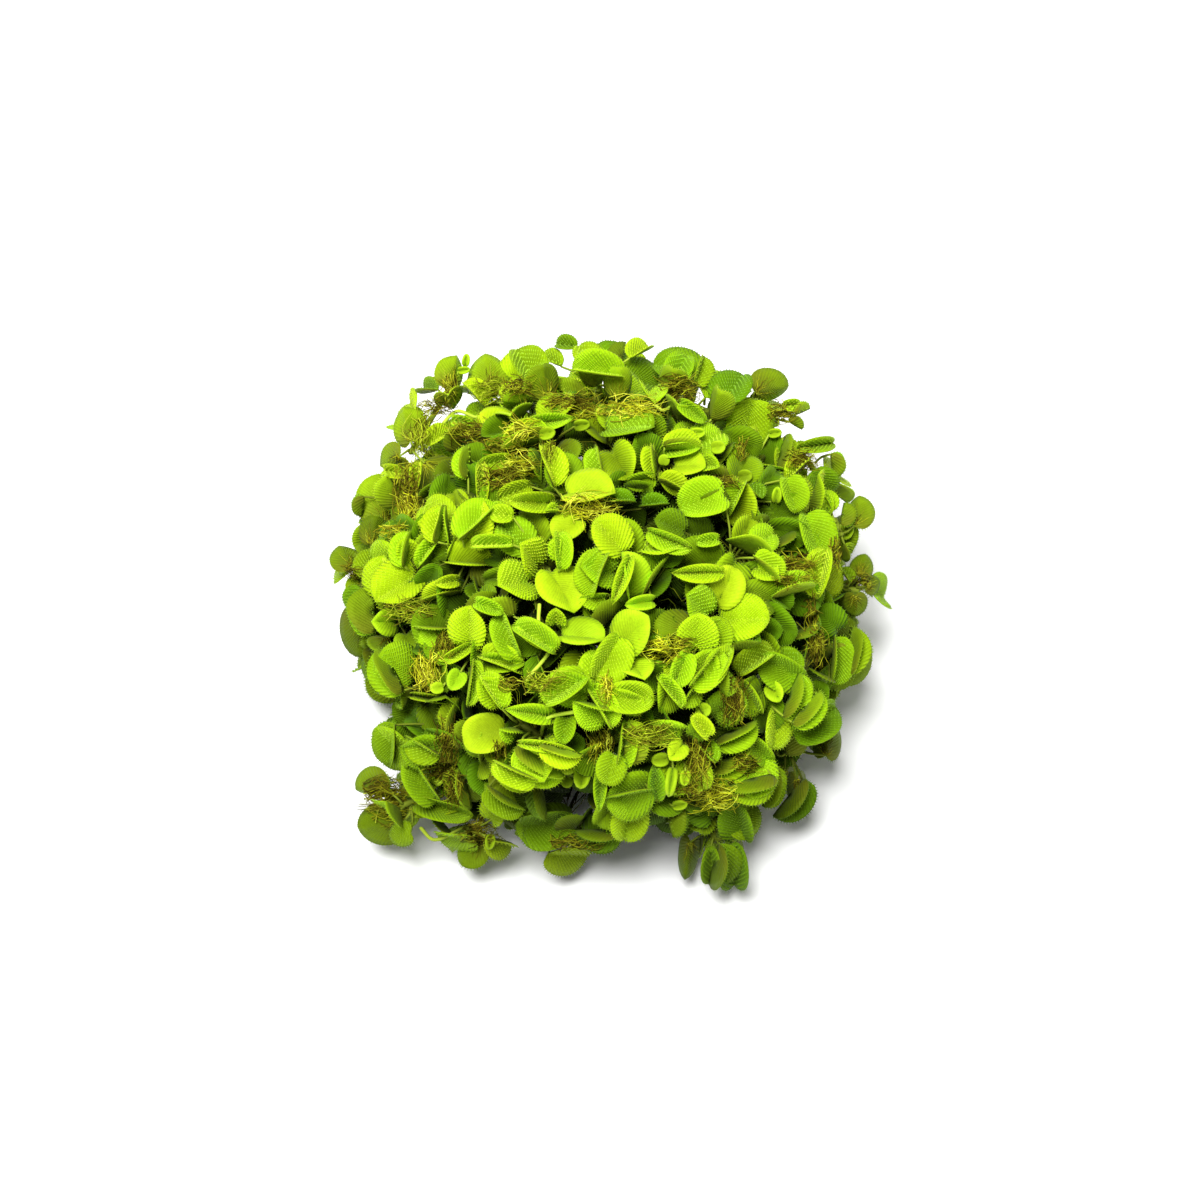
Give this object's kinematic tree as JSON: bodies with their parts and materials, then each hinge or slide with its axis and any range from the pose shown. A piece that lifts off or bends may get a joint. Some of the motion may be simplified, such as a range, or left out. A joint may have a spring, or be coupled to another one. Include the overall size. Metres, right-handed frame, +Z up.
{
  "type": "salvinia",
  "caption": "Dense mound of floating fern plants, tangled by their roots, with small round hairy green leaves.",
  "frame": {"origin": "centre of the clump's footprint box, on the surface that it rests on", "axes": "+Z up; -Y is the side that the picture is taken from; +X is to the picture's right"},
  "size_m": [0.145, 0.1428, 0.0814],
  "materials": {
    "plant": "satin"
  },
  "bodies": {
    "root": {"plant_01": "plant", "plant_02": "plant", "plant_03": "plant", "plant_04": "plant", "plant_05": "plant", "plant_06": "plant", "plant_07": "plant", "plant_08": "plant", "plant_09": "plant", "plant_10": "plant", "plant_11": "plant", "plant_12": "plant", "plant_13": "plant", "plant_14": "plant", "plant_15": "plant", "plant_16": "plant", "plant_17": "plant", "plant_18": "plant", "plant_19": "plant", "plant_20": "plant", "plant_21": "plant", "plant_22": "plant", "plant_23": "plant", "plant_24": "plant", "plant_25": "plant", "plant_26": "plant", "plant_27": "plant", "plant_28": "plant", "plant_29": "plant", "plant_30": "plant", "plant_31": "plant", "plant_32": "plant", "plant_33": "plant", "plant_34": "plant", "plant_35": "plant", "plant_36": "plant", "plant_37": "plant", "plant_38": "plant", "plant_39": "plant", "back_plant_01": "plant", "back_plant_02": "plant", "back_plant_03": "plant", "back_plant_04": "plant", "back_plant_05": "plant", "back_plant_06": "plant", "back_plant_07": "plant", "back_plant_08": "plant", "back_plant_09": "plant", "back_plant_10": "plant", "back_plant_11": "plant", "back_plant_12": "plant", "back_plant_13": "plant", "back_plant_14": "plant", "back_plant_15": "plant", "back_plant_16": "plant", "back_plant_17": "plant", "under_plant_01": "plant", "under_plant_02": "plant", "under_plant_03": "plant", "under_plant_04": "plant"}
  },
  "joints": []
}
